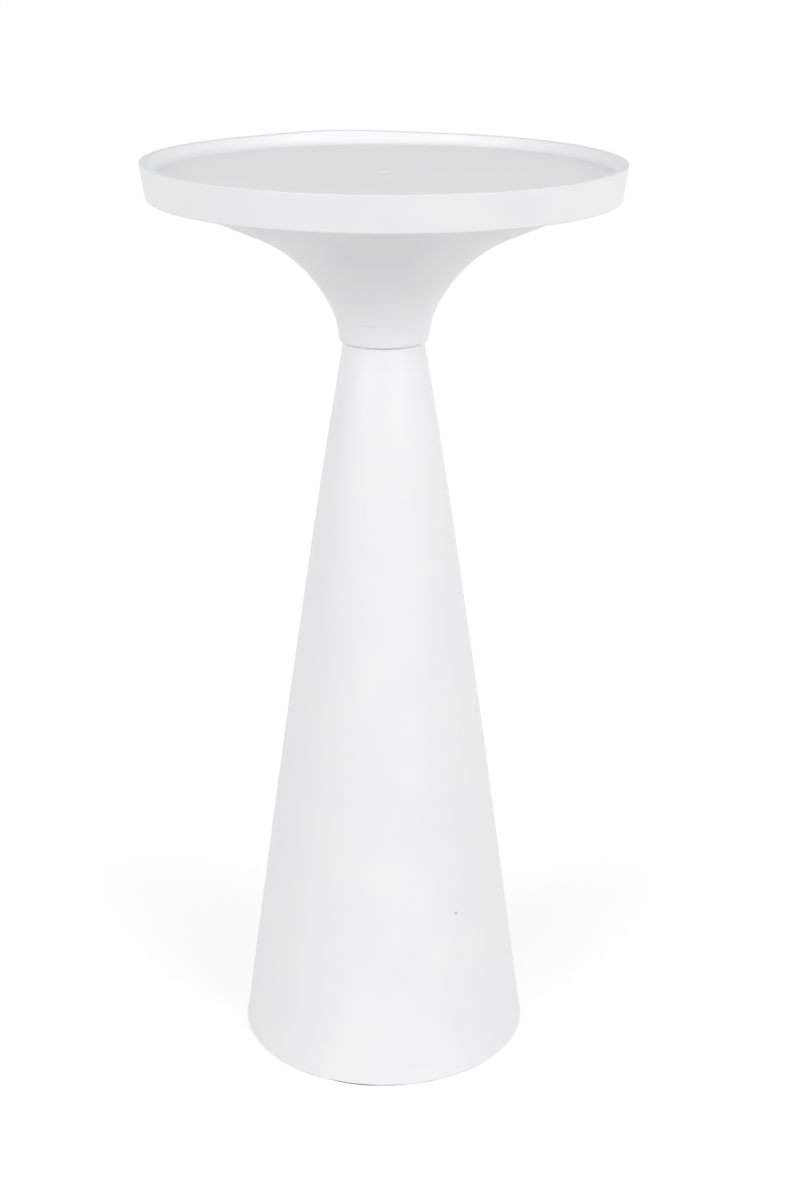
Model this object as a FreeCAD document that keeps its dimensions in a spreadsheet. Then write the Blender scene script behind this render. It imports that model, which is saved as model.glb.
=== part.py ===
"""Pedestal side table: a cast tray on a trumpet neck, seated on a hollow cone.

One threaded rod runs up the middle. It is screwed into a boss under the tray and pulls tray, trumpet,
coupler, cone and base weight together. Lengths are millimetres and angles degrees. The table stands on
the plane z = 0 with its axis along +Z.
"""
import FreeCAD, Part
import math
import os
import re

import Sketcher
from FreeCAD import Vector

# Driving dimensions
SIZES = {
    # whole table
    "table_height": 600.0,
    "tray_diameter": 300.0,
    "foot_diameter": 194.6,
    # tray: a shallow pan with a flat rim, a drafted band and, past a channel, a ring round the trumpet's lip
    "tray_depth": 7.5,
    "tray_floor": 5.0,
    "rim_width": 5.0,
    "rim_draft": 1.0,
    "rim_round": 1.2,
    "cove_radius": 5.0,
    "band_height": 22.0,
    "band_draft": 3.0,
    "band_wall": 5.0,
    "band_round": 1.5,
    "channel_width": 5.3,
    "ring_wall": 4.0,
    "ring_recess": 2.0,
    "boss_diameter": 34.0,
    "boss_drop": 12.0,
    "boss_fillet": 4.0,
    "tapping_depth": 12.0,
    "sink_diameter": 11.0,
    "sink_depth": 0.3,
    # trumpet: drafted neck, throat arc, bell arc and straight flare, all tangent, with one wall
    "trumpet_height": 90.2,
    "neck_diameter": 56.6,
    "neck_draft": 7.6,
    "neck_length": 7.9,
    "neck_round": 1.5,
    "throat_radius": 44.0,
    "throat_sweep": 18.0,
    "flare_angle": 23.6,
    "trumpet_wall": 4.0,
    "lip_width": 4.0,
    "register_diameter": 42.0,
    "register_depth": 12.0,
    # cone: three tapers, each under a degree steeper than the one below, so that the side swells slightly
    "cone_top_diameter": 51.6,
    "lower_taper": 7.82,
    "lower_length": 228.0,
    "upper_taper": 9.69,
    "upper_length": 87.0,
    "cone_wall": 3.0,
    "land_thickness": 4.0,
    "land_bore": 28.0,
    "land_round": 1.0,
    "foot_round": 0.8,
    # coupler between the two castings, whose flange makes the shadow gap
    "seam_gap": 1.0,
    "seam_recess": 2.2,
    "upper_spigot": 10.0,
    "lower_spigot": 9.0,
    # tie rod and the fasteners on it
    "rod_diameter": 8.0,
    "rod_chamfer": 0.8,
    "rod_engagement": 11.0,
    "rod_overhang": 1.0,
    "nut_flats": 13.0,
    "nut_thickness": 6.5,
    "washer_diameter": 24.0,
    "washer_thickness": 2.0,
    "spring_diameter": 14.8,
    "spring_thickness": 2.0,
    "spring_split": 1.6,
    # base: weight, cover board, its screws and the felt
    "weight_thickness": 16.0,
    "counterbore_diameter": 36.0,
    "counterbore_depth": 12.0,
    "cover_thickness": 6.0,
    "access_diameter": 40.0,
    "screw_circle": 130.0,
    "screw_count": 3.0,
    "screw_diameter": 5.0,
    "screw_length": 15.5,
    "screw_head": 9.6,
    "screw_socket": 3.0,
    "socket_depth": 1.8,
    "screw_recess": 0.2,
    "screw_spare": 2.0,
    "felt_thickness": 1.0,
    "felt_inset": 1.5,
    # fits
    "fit_clearance": 0.1,
    "thread_clearance": 0.05,
    "rod_clearance": 0.3,
    "seat_clearance": 0.2,
}

# Heights and radii that follow from the driving dimensions
PLACES = {
    "tray_r": "tray_diameter / 2",
    "band_r": "tray_r - band_draft",
    "rim_r": "tray_r - rim_width",
    "band_bottom": "table_height - band_height",
    "tray_top": "table_height - tray_depth",
    "tray_under": "tray_top - tray_floor",
    "boss_bottom": "tray_under - boss_drop",
    "boss_r": "boss_diameter / 2",
    "ring_r": "band_r - band_wall - channel_width - ring_wall",
    "bell_r": "ring_r - seat_clearance",
    "lip_r": "bell_r - lip_width",
    "neck_r": "neck_diameter / 2",
    "neck_bottom": "band_bottom - trumpet_height",
    "register_r": "register_diameter / 2",
    "register_top": "neck_bottom + register_depth",
    "cone_top": "neck_bottom - seam_gap",
    "cone_top_r": "cone_top_diameter / 2",
    "land_under": "cone_top - land_thickness",
    "land_bore_r": "land_bore / 2",
    "foot_r": "foot_diameter / 2",
    "foot_bottom": "felt_thickness",
    "lower_slope": "tan(lower_taper * 1 deg)",
    "upper_slope": "tan(upper_taper * 1 deg)",
    "lower_break": "foot_bottom + lower_length",
    "lower_break_r": "foot_r - lower_length * lower_slope",
    "upper_break": "cone_top - upper_length",
    "upper_break_r": "cone_top_r + upper_length * upper_slope",
    "land_edge_r": "cone_top_r + land_thickness * upper_slope - cone_wall",
    "cover_top": "foot_bottom + cover_thickness",
    "cover_r": "foot_r - cone_wall - cover_thickness * lower_slope - seat_clearance",
    "weight_top": "cover_top + weight_thickness",
    "weight_top_r": "cover_r - weight_thickness * lower_slope",
    "counterbore_top": "cover_top + counterbore_depth",
    "counterbore_r": "counterbore_diameter / 2",
    "access_r": "access_diameter / 2",
    "rod_r": "rod_diameter / 2",
    "rod_hole_r": "rod_r + rod_clearance",
    "thread_r": "rod_r + thread_clearance",
    "rod_top": "boss_bottom + rod_engagement",
    "clamp_washer_bottom": "counterbore_top - washer_thickness",
    "clamp_spring_bottom": "clamp_washer_bottom - spring_thickness",
    "clamp_nut_bottom": "clamp_spring_bottom - nut_thickness",
    "rod_bottom": "clamp_nut_bottom - rod_overhang",
    "lock_spring_bottom": "boss_bottom - spring_thickness",
    "lock_nut_bottom": "lock_spring_bottom - nut_thickness",
    "screw_r": "screw_diameter / 2",
    "screw_head_r": "screw_head / 2",
    "screw_place_r": "screw_circle / 2",
    "screw_bottom": "foot_bottom + screw_recess",
    "screw_top": "screw_bottom + screw_length",
}

# A point nearer than this to an axis of its sketch is tied to that axis
ON_AXIS = 1e-9
# Edges are told apart by radius and height to this tolerance
SAME_PLACE = 1e-4

doc = FreeCAD.newDocument("side_table")
sheet = doc.addObject("Spreadsheet::Sheet", "Sizes")
for row, (alias, size) in enumerate(SIZES.items(), start=1):
    sheet.set(f"A{row}", str(size))
    sheet.setAlias(f"A{row}", alias)
doc.recompute()


def expand(expression):
    """Write an expression of sizes and places out in cells of the sheet."""

    def cell(match):
        word = match[0]
        if word in SIZES:
            return f"Sizes.{word}"
        if word in PLACES:
            return f"({expand(PLACES[word])})"
        return word

    return re.sub("[a-z_]+", cell, expression)


def value(expression):
    """The number that an expression of sizes and places gives."""
    return float(sheet.evalExpression(expand(expression)))


def new_body(label):
    """An empty body that becomes one piece of the table."""
    body = doc.addObject("PartDesign::Body", label)
    body.Label = label
    return body


def new_sketch(body, name, role, height=None):
    """A sketch on one of the body's own origin planes, lifted to a height if one is given."""
    sketch = body.newObject("Sketcher::SketchObject", f"{body.Label}_{name}")
    plane = next(feature for feature in body.Origin.OriginFeatures if feature.Role == role)
    sketch.AttachmentSupport = [(plane, "")]
    sketch.MapMode = "FlatFace"
    if height is not None:
        sketch.setExpression("AttachmentOffset.Base.z", expand(height))
    return sketch


def bind(sketch, expression, kind, *target):
    """Add a dimension to a sketch and tie it to an expression."""
    index = sketch.addConstraint(Sketcher.Constraint(kind, *target, value(expression)))
    name = f"dimension_{index}"
    sketch.renameConstraint(index, name)
    sketch.setExpression(f"Constraints.{name}", expand(expression))


def bind_angle(sketch, expression, geometry):
    """Tie the angle of a line, or the sweep of an arc, to an expression in degrees."""
    index = sketch.addConstraint(Sketcher.Constraint("Angle", geometry, math.radians(value(expression))))
    name = f"dimension_{index}"
    sketch.renameConstraint(index, name)
    sketch.setExpression(f"Constraints.{name}", f"({expand(expression)}) * 1 deg")


def place_point(sketch, geometry, point, across, along):
    """Hold one point of a sketch at two expressions, measured from the sketch's origin."""
    for kind, axis, expression in (("DistanceX", -2, across), ("DistanceY", -1, along)):
        if abs(value(expression)) < ON_AXIS:
            sketch.addConstraint(Sketcher.Constraint("PointOnObject", geometry, point, axis))
        else:
            bind(sketch, expression, kind, -1, 1, geometry, point)


def add_outline(sketch, corners):
    """Draw a closed outline of straight lines whose corners are pairs of expressions."""
    points = [Vector(value(across), value(along), 0) for across, along in corners]
    lines = []
    for start, end in zip(points, points[1:] + points[:1]):
        lines.append(sketch.addGeometry(Part.LineSegment(start, end), False))
    for line, following in zip(lines, lines[1:] + lines[:1]):
        sketch.addConstraint(Sketcher.Constraint("Coincident", line, 2, following, 1))
    for line, corner in zip(lines, corners):
        place_point(sketch, line, 1, *corner)


def add_circle(sketch, across, radius):
    """Draw a circle whose centre lies on the sketch's horizontal axis."""
    centre = Vector(value(across), 0, 0)
    circle = sketch.addGeometry(Part.Circle(centre, Vector(0, 0, 1), value(radius)), False)
    place_point(sketch, circle, 3, across, "0")
    bind(sketch, radius, "Radius", circle)


def turn(body, sketch, name="turned", feature="PartDesign::Revolution"):
    """Revolve a sketch once round the table's axis."""
    turned = body.newObject(feature, f"{body.Label}_{name}")
    turned.Profile = sketch
    turned.ReferenceAxis = (sketch, ["V_Axis"])
    turned.Angle = 360
    doc.recompute()
    return turned


def turned_body(label, corners):
    """A piece whose half section has straight sides."""
    body = new_body(label)
    sketch = new_sketch(body, "half_section", "XZ_Plane")
    add_outline(sketch, corners)
    turn(body, sketch)
    return body


def extrude(body, sketch, feature, name, length=None):
    """Pad or pocket a sketch upwards, by a length or, for a pocket without one, through everything."""
    extruded = body.newObject(feature, f"{body.Label}_{name}")
    extruded.Profile = sketch
    if length is None:
        extruded.Type = "ThroughAll"
        extruded.Midplane = True
    else:
        extruded.setExpression("Length", expand(length))
        extruded.Reversed = feature == "PartDesign::Pocket"
    doc.recompute()
    return extruded


def ring_edges(shape, rings):
    """Names of a shape's round edges about the table's axis, found by their radius and height."""
    wanted = [(value(radius), value(height)) for radius, height in rings]
    names = []
    for number, edge in enumerate(shape.Edges, start=1):
        if edge.Curve.TypeId != "Part::GeomCircle":
            continue
        centre = edge.Curve.Center
        for radius, height in wanted:
            if math.dist((edge.Curve.Radius, centre.z), (radius, height)) < SAME_PLACE:
                names.append(f"Edge{number}")
    if len(names) != len(rings):
        raise RuntimeError(f"found {len(names)} of {len(rings)} edges to round")
    return names


def round_rings(body, name, rings, radius):
    """Fillet round edges of the body's last feature."""
    base = body.Tip
    fillet = body.newObject("PartDesign::Fillet", f"{body.Label}_{name}")
    fillet.Base = (base, ring_edges(base.Shape, rings))
    fillet.setExpression("Radius", expand(radius))
    doc.recompute()


def make_tray():
    """Shallow pan with a raised rim, an overhanging band, a ring that centres the trumpet and a boss."""
    body = turned_body("tray_top", [
        ("0", "tray_top - sink_depth"),
        ("sink_diameter / 2", "tray_top"),
        ("rim_r - rim_draft", "tray_top"),
        ("rim_r", "table_height"),
        ("tray_r", "table_height"),
        ("band_r", "band_bottom"),
        ("band_r - band_wall", "band_bottom"),
        ("band_r - band_wall", "tray_under"),
        ("ring_r + ring_wall", "tray_under"),
        ("ring_r + ring_wall", "band_bottom + ring_recess"),
        ("ring_r", "band_bottom + ring_recess"),
        ("ring_r", "tray_under"),
        ("boss_r", "tray_under"),
        ("boss_r", "boss_bottom"),
        ("thread_r", "boss_bottom"),
        ("thread_r", "boss_bottom + tapping_depth"),
        ("0", "boss_bottom + tapping_depth"),
    ])
    round_rings(body, "cove", [("rim_r - rim_draft", "tray_top")], "cove_radius")
    round_rings(body, "rim", [("rim_r", "table_height"), ("tray_r", "table_height")], "rim_round")
    round_rings(body, "band", [("band_r", "band_bottom")], "band_round")
    round_rings(body, "boss_root", [("boss_r", "tray_under")], "boss_fillet")
    return body


class HornPoints:
    """Where the trumpet's lines and arcs meet, used to draw its sketch near its solved shape.

    A slope is the angle of the wall from horizontal. An arc of radius r about a centre passes the slope a
    at centre + r * (-sin a, cos a). The bell's radius is the one that brings the flare to the lip.
    """

    def __init__(self):
        self.wall = value("trumpet_wall")
        self.neck_slope = math.radians(90 - value("neck_draft"))
        self.throat_slope = self.neck_slope - math.radians(value("throat_sweep"))
        self.flare_slope = math.radians(value("flare_angle"))
        self.throat_radius = value("throat_radius")
        self.neck_start = Vector(value("neck_r"), value("neck_bottom"), 0)
        self.lip = Vector(value("bell_r"), value("band_bottom"), 0)
        self.neck_end = self.neck_start + self.along(self.neck_slope) * value("neck_length")
        self.throat_centre = self.neck_end - self.inward(self.neck_slope) * self.throat_radius
        throat_end = self.on_throat(self.throat_slope, 0)
        reach = self.lip - throat_end
        rise = reach.y * math.cos(self.flare_slope) - reach.x * math.sin(self.flare_slope)
        self.bell_radius = rise / (1 - math.cos(self.throat_slope - self.flare_slope))
        self.bell_centre = throat_end - self.inward(self.throat_slope) * self.bell_radius

    def along(self, slope):
        """Unit vector up the wall."""
        return Vector(math.cos(slope), math.sin(slope), 0)

    def inward(self, slope):
        """Unit vector square to the wall, from its outer side to its inner one."""
        return Vector(-math.sin(slope), math.cos(slope), 0)

    def on_throat(self, slope, offset):
        return self.throat_centre + self.inward(slope) * (self.throat_radius + offset)

    def on_bell(self, slope, offset):
        return self.bell_centre + self.inward(slope) * (self.bell_radius + offset)


def add_arc(sketch, centre, radius, low_slope, high_slope):
    """Draw an arc of the trumpet's wall. Its point 1 is the upper end and its point 2 the lower."""
    circle = Part.Circle(centre, Vector(0, 0, 1), radius)
    quarter = math.pi / 2
    return sketch.addGeometry(Part.ArcOfCircle(circle, high_slope + quarter, low_slope + quarter), False)


def make_trumpet():
    """Hollow horn of one wall, with a lip under the tray and a bored register at the neck."""
    body = new_body("trumpet_neck")
    sketch = new_sketch(body, "half_section", "XZ_Plane")
    horn = HornPoints()

    def tie(kind, *target):
        sketch.addConstraint(Sketcher.Constraint(kind, *target))

    def line(start, end):
        return sketch.addGeometry(Part.LineSegment(start, end), False)

    # the side that shows, from the seam up to the lip
    neck = line(horn.neck_start, horn.neck_end)
    throat = add_arc(sketch, horn.throat_centre, horn.throat_radius, horn.neck_slope, horn.throat_slope)
    bell = add_arc(sketch, horn.bell_centre, horn.bell_radius, horn.throat_slope, horn.flare_slope)
    flare = line(horn.on_bell(horn.flare_slope, 0), horn.lip)
    tie("Tangent", neck, 2, throat, 2)
    tie("Tangent", throat, 1, bell, 2)
    tie("Tangent", bell, 1, flare, 1)
    place_point(sketch, neck, 1, "neck_r", "neck_bottom")
    bind_angle(sketch, "90 - neck_draft", neck)
    bind(sketch, "neck_length", "Distance", neck)
    bind(sketch, "throat_radius", "Radius", throat)
    bind_angle(sketch, "throat_sweep", throat)
    bind_angle(sketch, "flare_angle", flare)
    place_point(sketch, flare, 2, "bell_r", "band_bottom")

    # the inner side, on the same centres and a wall away
    inner_radius = horn.throat_radius + horn.wall
    ledge_rise = value("register_top") - horn.throat_centre.y
    ledge_slope = math.acos(ledge_rise / inner_radius)
    ledge_point = horn.on_throat(ledge_slope, horn.wall)
    flare_start = horn.on_bell(horn.flare_slope, horn.wall)
    flare_reach = (value("lip_r") - flare_start.x) / math.cos(horn.flare_slope)
    flare_end = flare_start + horn.along(horn.flare_slope) * flare_reach
    inner_throat = add_arc(sketch, horn.throat_centre, inner_radius, ledge_slope, horn.throat_slope)
    inner_bell = add_arc(sketch, horn.bell_centre, horn.bell_radius + horn.wall,
                         horn.throat_slope, horn.flare_slope)
    inner_flare = line(flare_start, flare_end)
    tie("Coincident", inner_throat, 3, throat, 3)
    tie("Coincident", inner_bell, 3, bell, 3)
    tie("Tangent", inner_throat, 1, inner_bell, 2)
    tie("Tangent", inner_bell, 1, inner_flare, 1)
    tie("Parallel", inner_flare, flare)
    bind(sketch, "throat_radius + trumpet_wall", "Radius", inner_throat)
    bind(sketch, "register_top", "DistanceY", -1, 1, inner_throat, 2)
    bind(sketch, "lip_r", "DistanceX", -1, 1, inner_flare, 2)

    # the lip at the top, and the ledge, bore and face at the neck
    lip_corner = Vector(value("bell_r"), value("tray_under"), 0)
    lip_inside = Vector(value("lip_r"), value("tray_under"), 0)
    bore_top = Vector(value("register_r"), value("register_top"), 0)
    bore_bottom = Vector(value("register_r"), value("neck_bottom"), 0)
    lip_side = line(horn.lip, lip_corner)
    lip_face = line(lip_corner, lip_inside)
    lip_wall = line(lip_inside, flare_end)
    ledge = line(ledge_point, bore_top)
    bore = line(bore_top, bore_bottom)
    neck_face = line(bore_bottom, horn.neck_start)
    for first, second in ((lip_side, lip_face), (lip_face, lip_wall), (ledge, bore), (bore, neck_face)):
        tie("Coincident", first, 2, second, 1)
    tie("Coincident", flare, 2, lip_side, 1)
    tie("Coincident", lip_wall, 2, inner_flare, 2)
    tie("Coincident", inner_throat, 2, ledge, 1)
    tie("Coincident", neck_face, 2, neck, 1)
    place_point(sketch, lip_side, 2, "bell_r", "tray_under")
    place_point(sketch, lip_face, 2, "lip_r", "tray_under")
    place_point(sketch, ledge, 2, "register_r", "register_top")
    place_point(sketch, bore, 2, "register_r", "neck_bottom")

    turn(body, sketch)
    round_rings(body, "neck_edge", [("neck_r", "neck_bottom")], "neck_round")
    return body


def make_cone():
    """Hollow base of three tapers, closed at the top by a land with one bore."""
    body = turned_body("cone_base", [
        ("foot_r", "foot_bottom"),
        ("lower_break_r", "lower_break"),
        ("upper_break_r", "upper_break"),
        ("cone_top_r", "cone_top"),
        ("land_bore_r", "cone_top"),
        ("land_bore_r", "land_under"),
        ("land_edge_r", "land_under"),
        ("upper_break_r - cone_wall", "upper_break"),
        ("lower_break_r - cone_wall", "lower_break"),
        ("foot_r - cone_wall", "foot_bottom"),
    ])
    round_rings(body, "land_edge", [("cone_top_r", "cone_top")], "land_round")
    round_rings(body, "foot_edge", [("foot_r", "foot_bottom")], "foot_round")
    return body


def make_coupler():
    """Turned bush that centres the trumpet on the cone and holds the two a seam's width apart."""
    return turned_body("neck_coupler", [
        ("rod_hole_r", "cone_top - lower_spigot"),
        ("land_bore_r - fit_clearance", "cone_top - lower_spigot"),
        ("land_bore_r - fit_clearance", "cone_top"),
        ("cone_top_r - seam_recess", "cone_top"),
        ("cone_top_r - seam_recess", "neck_bottom"),
        ("register_r - fit_clearance", "neck_bottom"),
        ("register_r - fit_clearance", "neck_bottom + upper_spigot"),
        ("rod_hole_r", "neck_bottom + upper_spigot"),
    ])


def make_rod():
    """Threaded rod from the tray's boss to below the clamp nut, chamfered at both ends."""
    return turned_body("tie_rod", [
        ("0", "rod_bottom"),
        ("rod_r - rod_chamfer", "rod_bottom"),
        ("rod_r", "rod_bottom + rod_chamfer"),
        ("rod_r", "rod_top - rod_chamfer"),
        ("rod_r - rod_chamfer", "rod_top"),
        ("0", "rod_top"),
    ])


def hexagon(flats):
    """Corners of a regular hexagon about the axis, given its width across flats."""
    corner_r = f"{flats} / 2 / cos(30 deg)"
    angles = range(30, 390, 60)
    return [(f"{corner_r} * cos({angle} deg)", f"{corner_r} * sin({angle} deg)") for angle in angles]


def make_nut(label, bottom):
    """Hexagon nut on the tie rod."""
    body = new_body(label)
    blank = new_sketch(body, "hexagon", "XY_Plane", bottom)
    add_outline(blank, hexagon("nut_flats"))
    extrude(body, blank, "PartDesign::Pad", "blank", "nut_thickness")
    thread = new_sketch(body, "thread", "XY_Plane", bottom)
    add_circle(thread, "0", "thread_r")
    extrude(body, thread, "PartDesign::Pocket", "thread_bore")
    return body


def ring_corners(inner, outer, bottom, thickness):
    """Half section of a flat ring."""
    top = f"{bottom} + {thickness}"
    return [(inner, bottom), (outer, bottom), (outer, top), (inner, top)]


def make_washer():
    """Flat washer that spreads the clamp nut's pull over the weight."""
    corners = ring_corners("rod_hole_r", "washer_diameter / 2", "clamp_washer_bottom", "washer_thickness")
    return turned_body("clamp_washer", corners)


def make_felt():
    """Felt ring under the foot, drawn in from the cone's edge."""
    return turned_body("felt_pad", ring_corners("access_r", "foot_r - felt_inset", "0", "felt_thickness"))


def make_spring_washer(label, bottom):
    """Split washer, pressed flat under its nut."""
    body = turned_body(label, ring_corners("rod_hole_r", "spring_diameter / 2", bottom, "spring_thickness"))
    split = new_sketch(body, "split", "XY_Plane", bottom)
    add_outline(split, [
        ("0", "spring_split / -2"),
        ("spring_diameter", "spring_split / -2"),
        ("spring_diameter", "spring_split / 2"),
        ("0", "spring_split / 2"),
    ])
    extrude(body, split, "PartDesign::Pocket", "gap")
    return body


def make_weight():
    """Iron disc that fits the cone's taper, bored for the rod and counterbored for its fasteners."""
    body = turned_body("base_weight", [
        ("counterbore_r", "cover_top"),
        ("cover_r", "cover_top"),
        ("weight_top_r", "weight_top"),
        ("rod_hole_r", "weight_top"),
        ("rod_hole_r", "counterbore_top"),
        ("counterbore_r", "counterbore_top"),
    ])
    tapping = new_sketch(body, "tapping", "XY_Plane", "cover_top")
    add_circle(tapping, "screw_place_r", "screw_r + thread_clearance")
    depth = "screw_top - cover_top + screw_spare"
    hole = extrude(body, tapping, "PartDesign::Pocket", "tapped_hole", depth)
    repeat_round(body, hole)
    return body


def repeat_round(body, *features):
    """Repeat features round the axis, once for each cover screw."""
    pattern = body.newObject("PartDesign::PolarPattern", f"{body.Label}_pattern")
    pattern.Originals = features
    axis = next(line for line in body.Origin.OriginFeatures if line.Role == "Z_Axis")
    pattern.Axis = (axis, [""])
    pattern.Angle = 360
    pattern.setExpression("Occurrences", expand("screw_count"))
    body.Tip = pattern
    doc.recompute()


def make_cover():
    """Fibreboard disc under the weight, with an access hole and countersunk screw holes."""
    body = turned_body("base_cover", ring_corners("access_r", "cover_r", "foot_bottom", "cover_thickness"))
    marks = new_sketch(body, "screw_marks", "XY_Plane", "foot_bottom")
    add_circle(marks, "screw_place_r", "screw_r")
    hole = body.newObject("PartDesign::Hole", "base_cover_screw_hole")
    hole.Profile = marks
    hole.DepthType = "ThroughAll"
    hole.Reversed = True
    hole.HoleCutType = "Countersink"
    hole.HoleCutCustomValues = True
    hole.HoleCutCountersinkAngle = 90
    hole.setExpression("Diameter", expand("screw_diameter + 2 * fit_clearance"))
    hole.setExpression("HoleCutDiameter", expand("screw_head + 2 * screw_recess + 2 * fit_clearance"))
    doc.recompute()
    repeat_round(body, hole)
    return body


def make_screws():
    """Countersunk socket screws that hold the cover to the weight."""
    body = new_body("cover_screws")
    body.AllowCompound = True
    section = new_sketch(body, "half_section", "XZ_Plane")
    add_outline(section, [
        ("screw_place_r", "screw_bottom"),
        ("screw_place_r + screw_head_r", "screw_bottom"),
        ("screw_place_r + screw_r", "screw_bottom + screw_head_r - screw_r"),
        ("screw_place_r + screw_r", "screw_top"),
        ("screw_place_r", "screw_top"),
    ])
    screw = body.newObject("PartDesign::Revolution", "cover_screws_turned")
    screw.Profile = section
    screw.ReferenceAxis = (section, ["Edge5"])
    screw.Angle = 360
    doc.recompute()
    socket = new_sketch(body, "socket", "XY_Plane", "screw_bottom")
    add_outline(socket, [(f"screw_place_r + {across}", along) for across, along in hexagon("screw_socket")])
    recess = extrude(body, socket, "PartDesign::Pocket", "recess", "socket_depth")
    repeat_round(body, screw, recess)
    return body


pieces = [
    make_tray(),
    make_trumpet(),
    make_coupler(),
    make_cone(),
    make_rod(),
    make_spring_washer("lock_spring_washer", "lock_spring_bottom"),
    make_nut("lock_nut", "lock_nut_bottom"),
    make_weight(),
    make_washer(),
    make_spring_washer("clamp_spring_washer", "clamp_spring_bottom"),
    make_nut("clamp_nut", "clamp_nut_bottom"),
    make_cover(),
    make_screws(),
    make_felt(),
]
doc.recompute()

for item in doc.Objects:
    if {"Invalid", "Error"} & set(item.State):
        raise RuntimeError(f"{item.Label} failed: {item.State}")
for piece in pieces:
    if piece.Shape.isNull() or not piece.Shape.isValid():
        raise RuntimeError(f"{piece.Label} has no valid shape")

os.makedirs("parts", exist_ok=True)
for piece in pieces:
    piece.Shape.exportStep(f"parts/{piece.Label}.step")
    print(f"{piece.Label}: {len(piece.Shape.Solids)} solid, {piece.Shape.Volume / 1000:.2f} cm3")
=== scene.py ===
"""Looks of a white pedestal side table, built round its packed construction.

The castings, the felt and the fasteners are made again as finished meshes where the construction has
them, every piece gets its material, and a white studio stands round the table. Lengths are metres.
"""
import math

import bmesh
import bpy
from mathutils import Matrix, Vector


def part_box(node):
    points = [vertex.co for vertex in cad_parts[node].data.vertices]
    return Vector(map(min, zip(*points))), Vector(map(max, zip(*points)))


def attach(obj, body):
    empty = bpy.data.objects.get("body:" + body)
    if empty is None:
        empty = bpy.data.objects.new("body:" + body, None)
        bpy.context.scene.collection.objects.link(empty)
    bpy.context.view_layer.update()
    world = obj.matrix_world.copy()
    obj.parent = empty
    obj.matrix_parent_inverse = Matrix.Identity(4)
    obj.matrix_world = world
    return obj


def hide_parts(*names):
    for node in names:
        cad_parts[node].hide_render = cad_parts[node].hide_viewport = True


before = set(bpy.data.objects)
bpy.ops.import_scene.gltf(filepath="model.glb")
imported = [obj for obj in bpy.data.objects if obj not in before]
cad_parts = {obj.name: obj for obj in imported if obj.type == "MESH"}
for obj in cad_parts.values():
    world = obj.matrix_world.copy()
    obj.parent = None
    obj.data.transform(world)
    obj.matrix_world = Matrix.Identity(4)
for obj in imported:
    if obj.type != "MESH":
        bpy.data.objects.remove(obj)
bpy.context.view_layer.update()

bl_info = {
    "name": "Pedestal side table",
    "version": (1, 0, 0),
    "blender": (4, 5, 0),
    "location": "3D View > Sidebar > Side Table",
    "description": "Finishes a white pedestal side table on its packed construction",
    "category": "Object",
}

MM = 0.001
BODY = "root"

# Round stretches of a section get a point for each of these angles and at least this many steps,
# and every stretch gets a point for each of these lengths
ARC_STEP = math.radians(9)
FEWEST_ARC_STEPS = 2
LONGEST_RUN = 7 * MM
# A straight stretch gets a point this close to a rounded corner, so that it shades as a plane,
# but a stretch that is shorter than this gets none
CORNER_SUPPORT = 0.35 * MM
SHORTEST_SUPPORTED = 3 * CORNER_SUPPORT
# Points nearer than this are one point
SAME_POINT = 0.004 * MM
# Edges that turn by more than this stay sharp, on a casting and on a fastener
CASTING_CREASE = math.radians(35)
FASTENER_CREASE = math.radians(25)
# Steps round a casting and a fastener. A fastener's are a multiple of six for its hexagons,
# and fewer on the screws and the rod, whose threads have many rows.
CASTING_SEGMENTS = 240
FASTENER_SEGMENTS = 48
SCREW_SEGMENTS = 24
ROD_SEGMENTS = 18
# Points on each rounded edge of a spring washer
SPRING_EDGE_POINTS = 3
# Waves in a casting begin this far from the axis and are full this far from it
WAVE_FROM = 20 * MM
WAVE_TO = 45 * MM
# Rules of a fastener's row: how far it lies on a hexagon, how far it drops for that,
# and whether it climbs a thread
RULES = ("hexagon", "drop", "thread")
PLAIN = (0, 0, 0)
THREADED = (0, 0, 1)
# Depth of a standard thread in pitches, and its profile: root, flank, crest and flank
THREAD_DEPTH = 0.6134
THREAD_PROFILE = ((0, "root"), (1 / 4, "root"), (9 / 16, "crest"), (11 / 16, "crest"))
# Chamfer of a nut's corners, the land at a screw head's edge and the drilled tip of its socket
NUT_CHAMFER = math.radians(30)
HEAD_LAND = 0.25 * MM
SOCKET_TIP = 0.5 * MM
# Names of the trees that several pieces share
CASTING_TREE = "Turned casting"
FASTENER_TREE = "Turned fastener"
# Kinds of node that come up most. A Mix node takes numbers in its sockets 2 and 3, colours in 6 and 7.
MIX = "ShaderNodeMix"
RANGE = "ShaderNodeMapRange"
NOISE = "ShaderNodeTexNoise"
# Length of one band of a Wave texture whose scale is one
WAVE_PERIOD = math.tau / 20
# Width of the camera's sensor in millimetres
SENSOR_WIDTH = 36


def reach(node_name):
    """How far a node reaches along +X, its lowest height and its highest."""
    low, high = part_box(node_name)
    return high.x, low.z, high.z


_, BOSS_BOTTOM, TABLE_HEIGHT = reach("tray_top")
BELL_RADIUS, NECK_BOTTOM, TRAY_UNDERSIDE = reach("trumpet_neck")
_, FOOT_BOTTOM, CONE_TOP = reach("cone_base")
FELT_RADIUS, FLOOR_LEVEL, FELT_TOP = reach("felt_pad")


def length(name, description, default):
    """A size that a user may change."""
    return bpy.props.FloatProperty(
        name=name, description=description, default=default, precision=5, unit="LENGTH")


def mm(name, description, default):
    """A size that a user may change, whose default is given in millimetres."""
    return length(name, description, default * MM)


def angle(name, description, degrees):
    """An angle that a user may change."""
    return bpy.props.FloatProperty(
        name=name, description=description, default=math.radians(degrees), subtype="ANGLE")


def amount(name, description, default):
    """A plain number that a user may change."""
    return bpy.props.FloatProperty(name=name, description=description, default=default, precision=4)


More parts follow.
